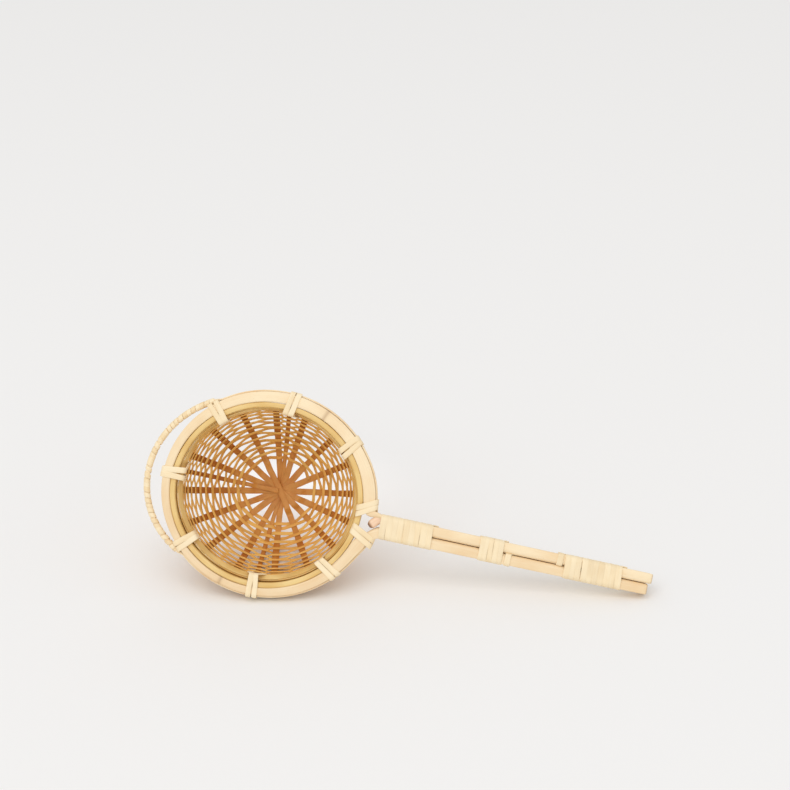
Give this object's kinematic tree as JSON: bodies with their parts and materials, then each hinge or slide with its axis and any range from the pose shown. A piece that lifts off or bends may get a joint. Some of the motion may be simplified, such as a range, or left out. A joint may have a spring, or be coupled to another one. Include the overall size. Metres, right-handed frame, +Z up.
{
  "type": "tea strainer",
  "caption": "Woven split-bamboo tea strainer: a round open-weave bowl in a bent hoop lashed with cane, a split wrapped handle and a small wrapped ear opposite it.",
  "frame": {"origin": "centre of the box's bottom face, on the floor that the strainer lies on", "axes": "+Z up from the floor, +X from the ear towards the handle tip, the bowl's mouth faces -Y and a little up"},
  "size_m": [0.1788, 0.058, 0.0673],
  "materials": {
    "pale_bamboo": "smooth split bamboo, satin",
    "ochre_bamboo": "smooth split bamboo skin, satin",
    "rib_bamboo": "smoked flat bamboo strip, satin",
    "woven_bamboo": "fine split bamboo strand, satin",
    "wedge_bamboo": "cut bamboo end grain",
    "binding_cane": "flat peeled cane, satin"
  },
  "bodies": {
    "root": {"binding_strip_and_ear": "pale_bamboo", "cover_hoop_and_handle": "pale_bamboo", "ear_cane_wrap": "binding_cane", "handle_wrap_1": "binding_cane", "handle_wrap_2": "binding_cane", "handle_wrap_3": "binding_cane", "inner_hoop": "ochre_bamboo", "inner_retaining_strip": "ochre_bamboo", "neck_wedge": "wedge_bamboo", "outer_retaining_strip": "ochre_bamboo", "rib_half_strip": "rib_bamboo", "rib_strip_01": "rib_bamboo", "rib_strip_02": "rib_bamboo", "rib_strip_03": "rib_bamboo", "rib_strip_04": "rib_bamboo", "rib_strip_05": "rib_bamboo", "rib_strip_06": "rib_bamboo", "rib_strip_07": "rib_bamboo", "rib_strip_08": "rib_bamboo", "rib_strip_09": "rib_bamboo", "rim_lashing_01": "binding_cane", "rim_lashing_02": "binding_cane", "rim_lashing_03": "binding_cane", "rim_lashing_04": "binding_cane", "rim_lashing_05": "binding_cane", "rim_lashing_06": "binding_cane", "rim_lashing_07": "binding_cane", "rim_lashing_08": "binding_cane", "rim_lashing_09": "binding_cane", "weft_strand_01": "woven_bamboo", "weft_strand_02": "woven_bamboo", "weft_strand_03": "woven_bamboo", "weft_strand_04": "woven_bamboo", "weft_strand_05": "woven_bamboo", "weft_strand_06": "woven_bamboo", "weft_strand_07": "woven_bamboo"}
  },
  "joints": []
}
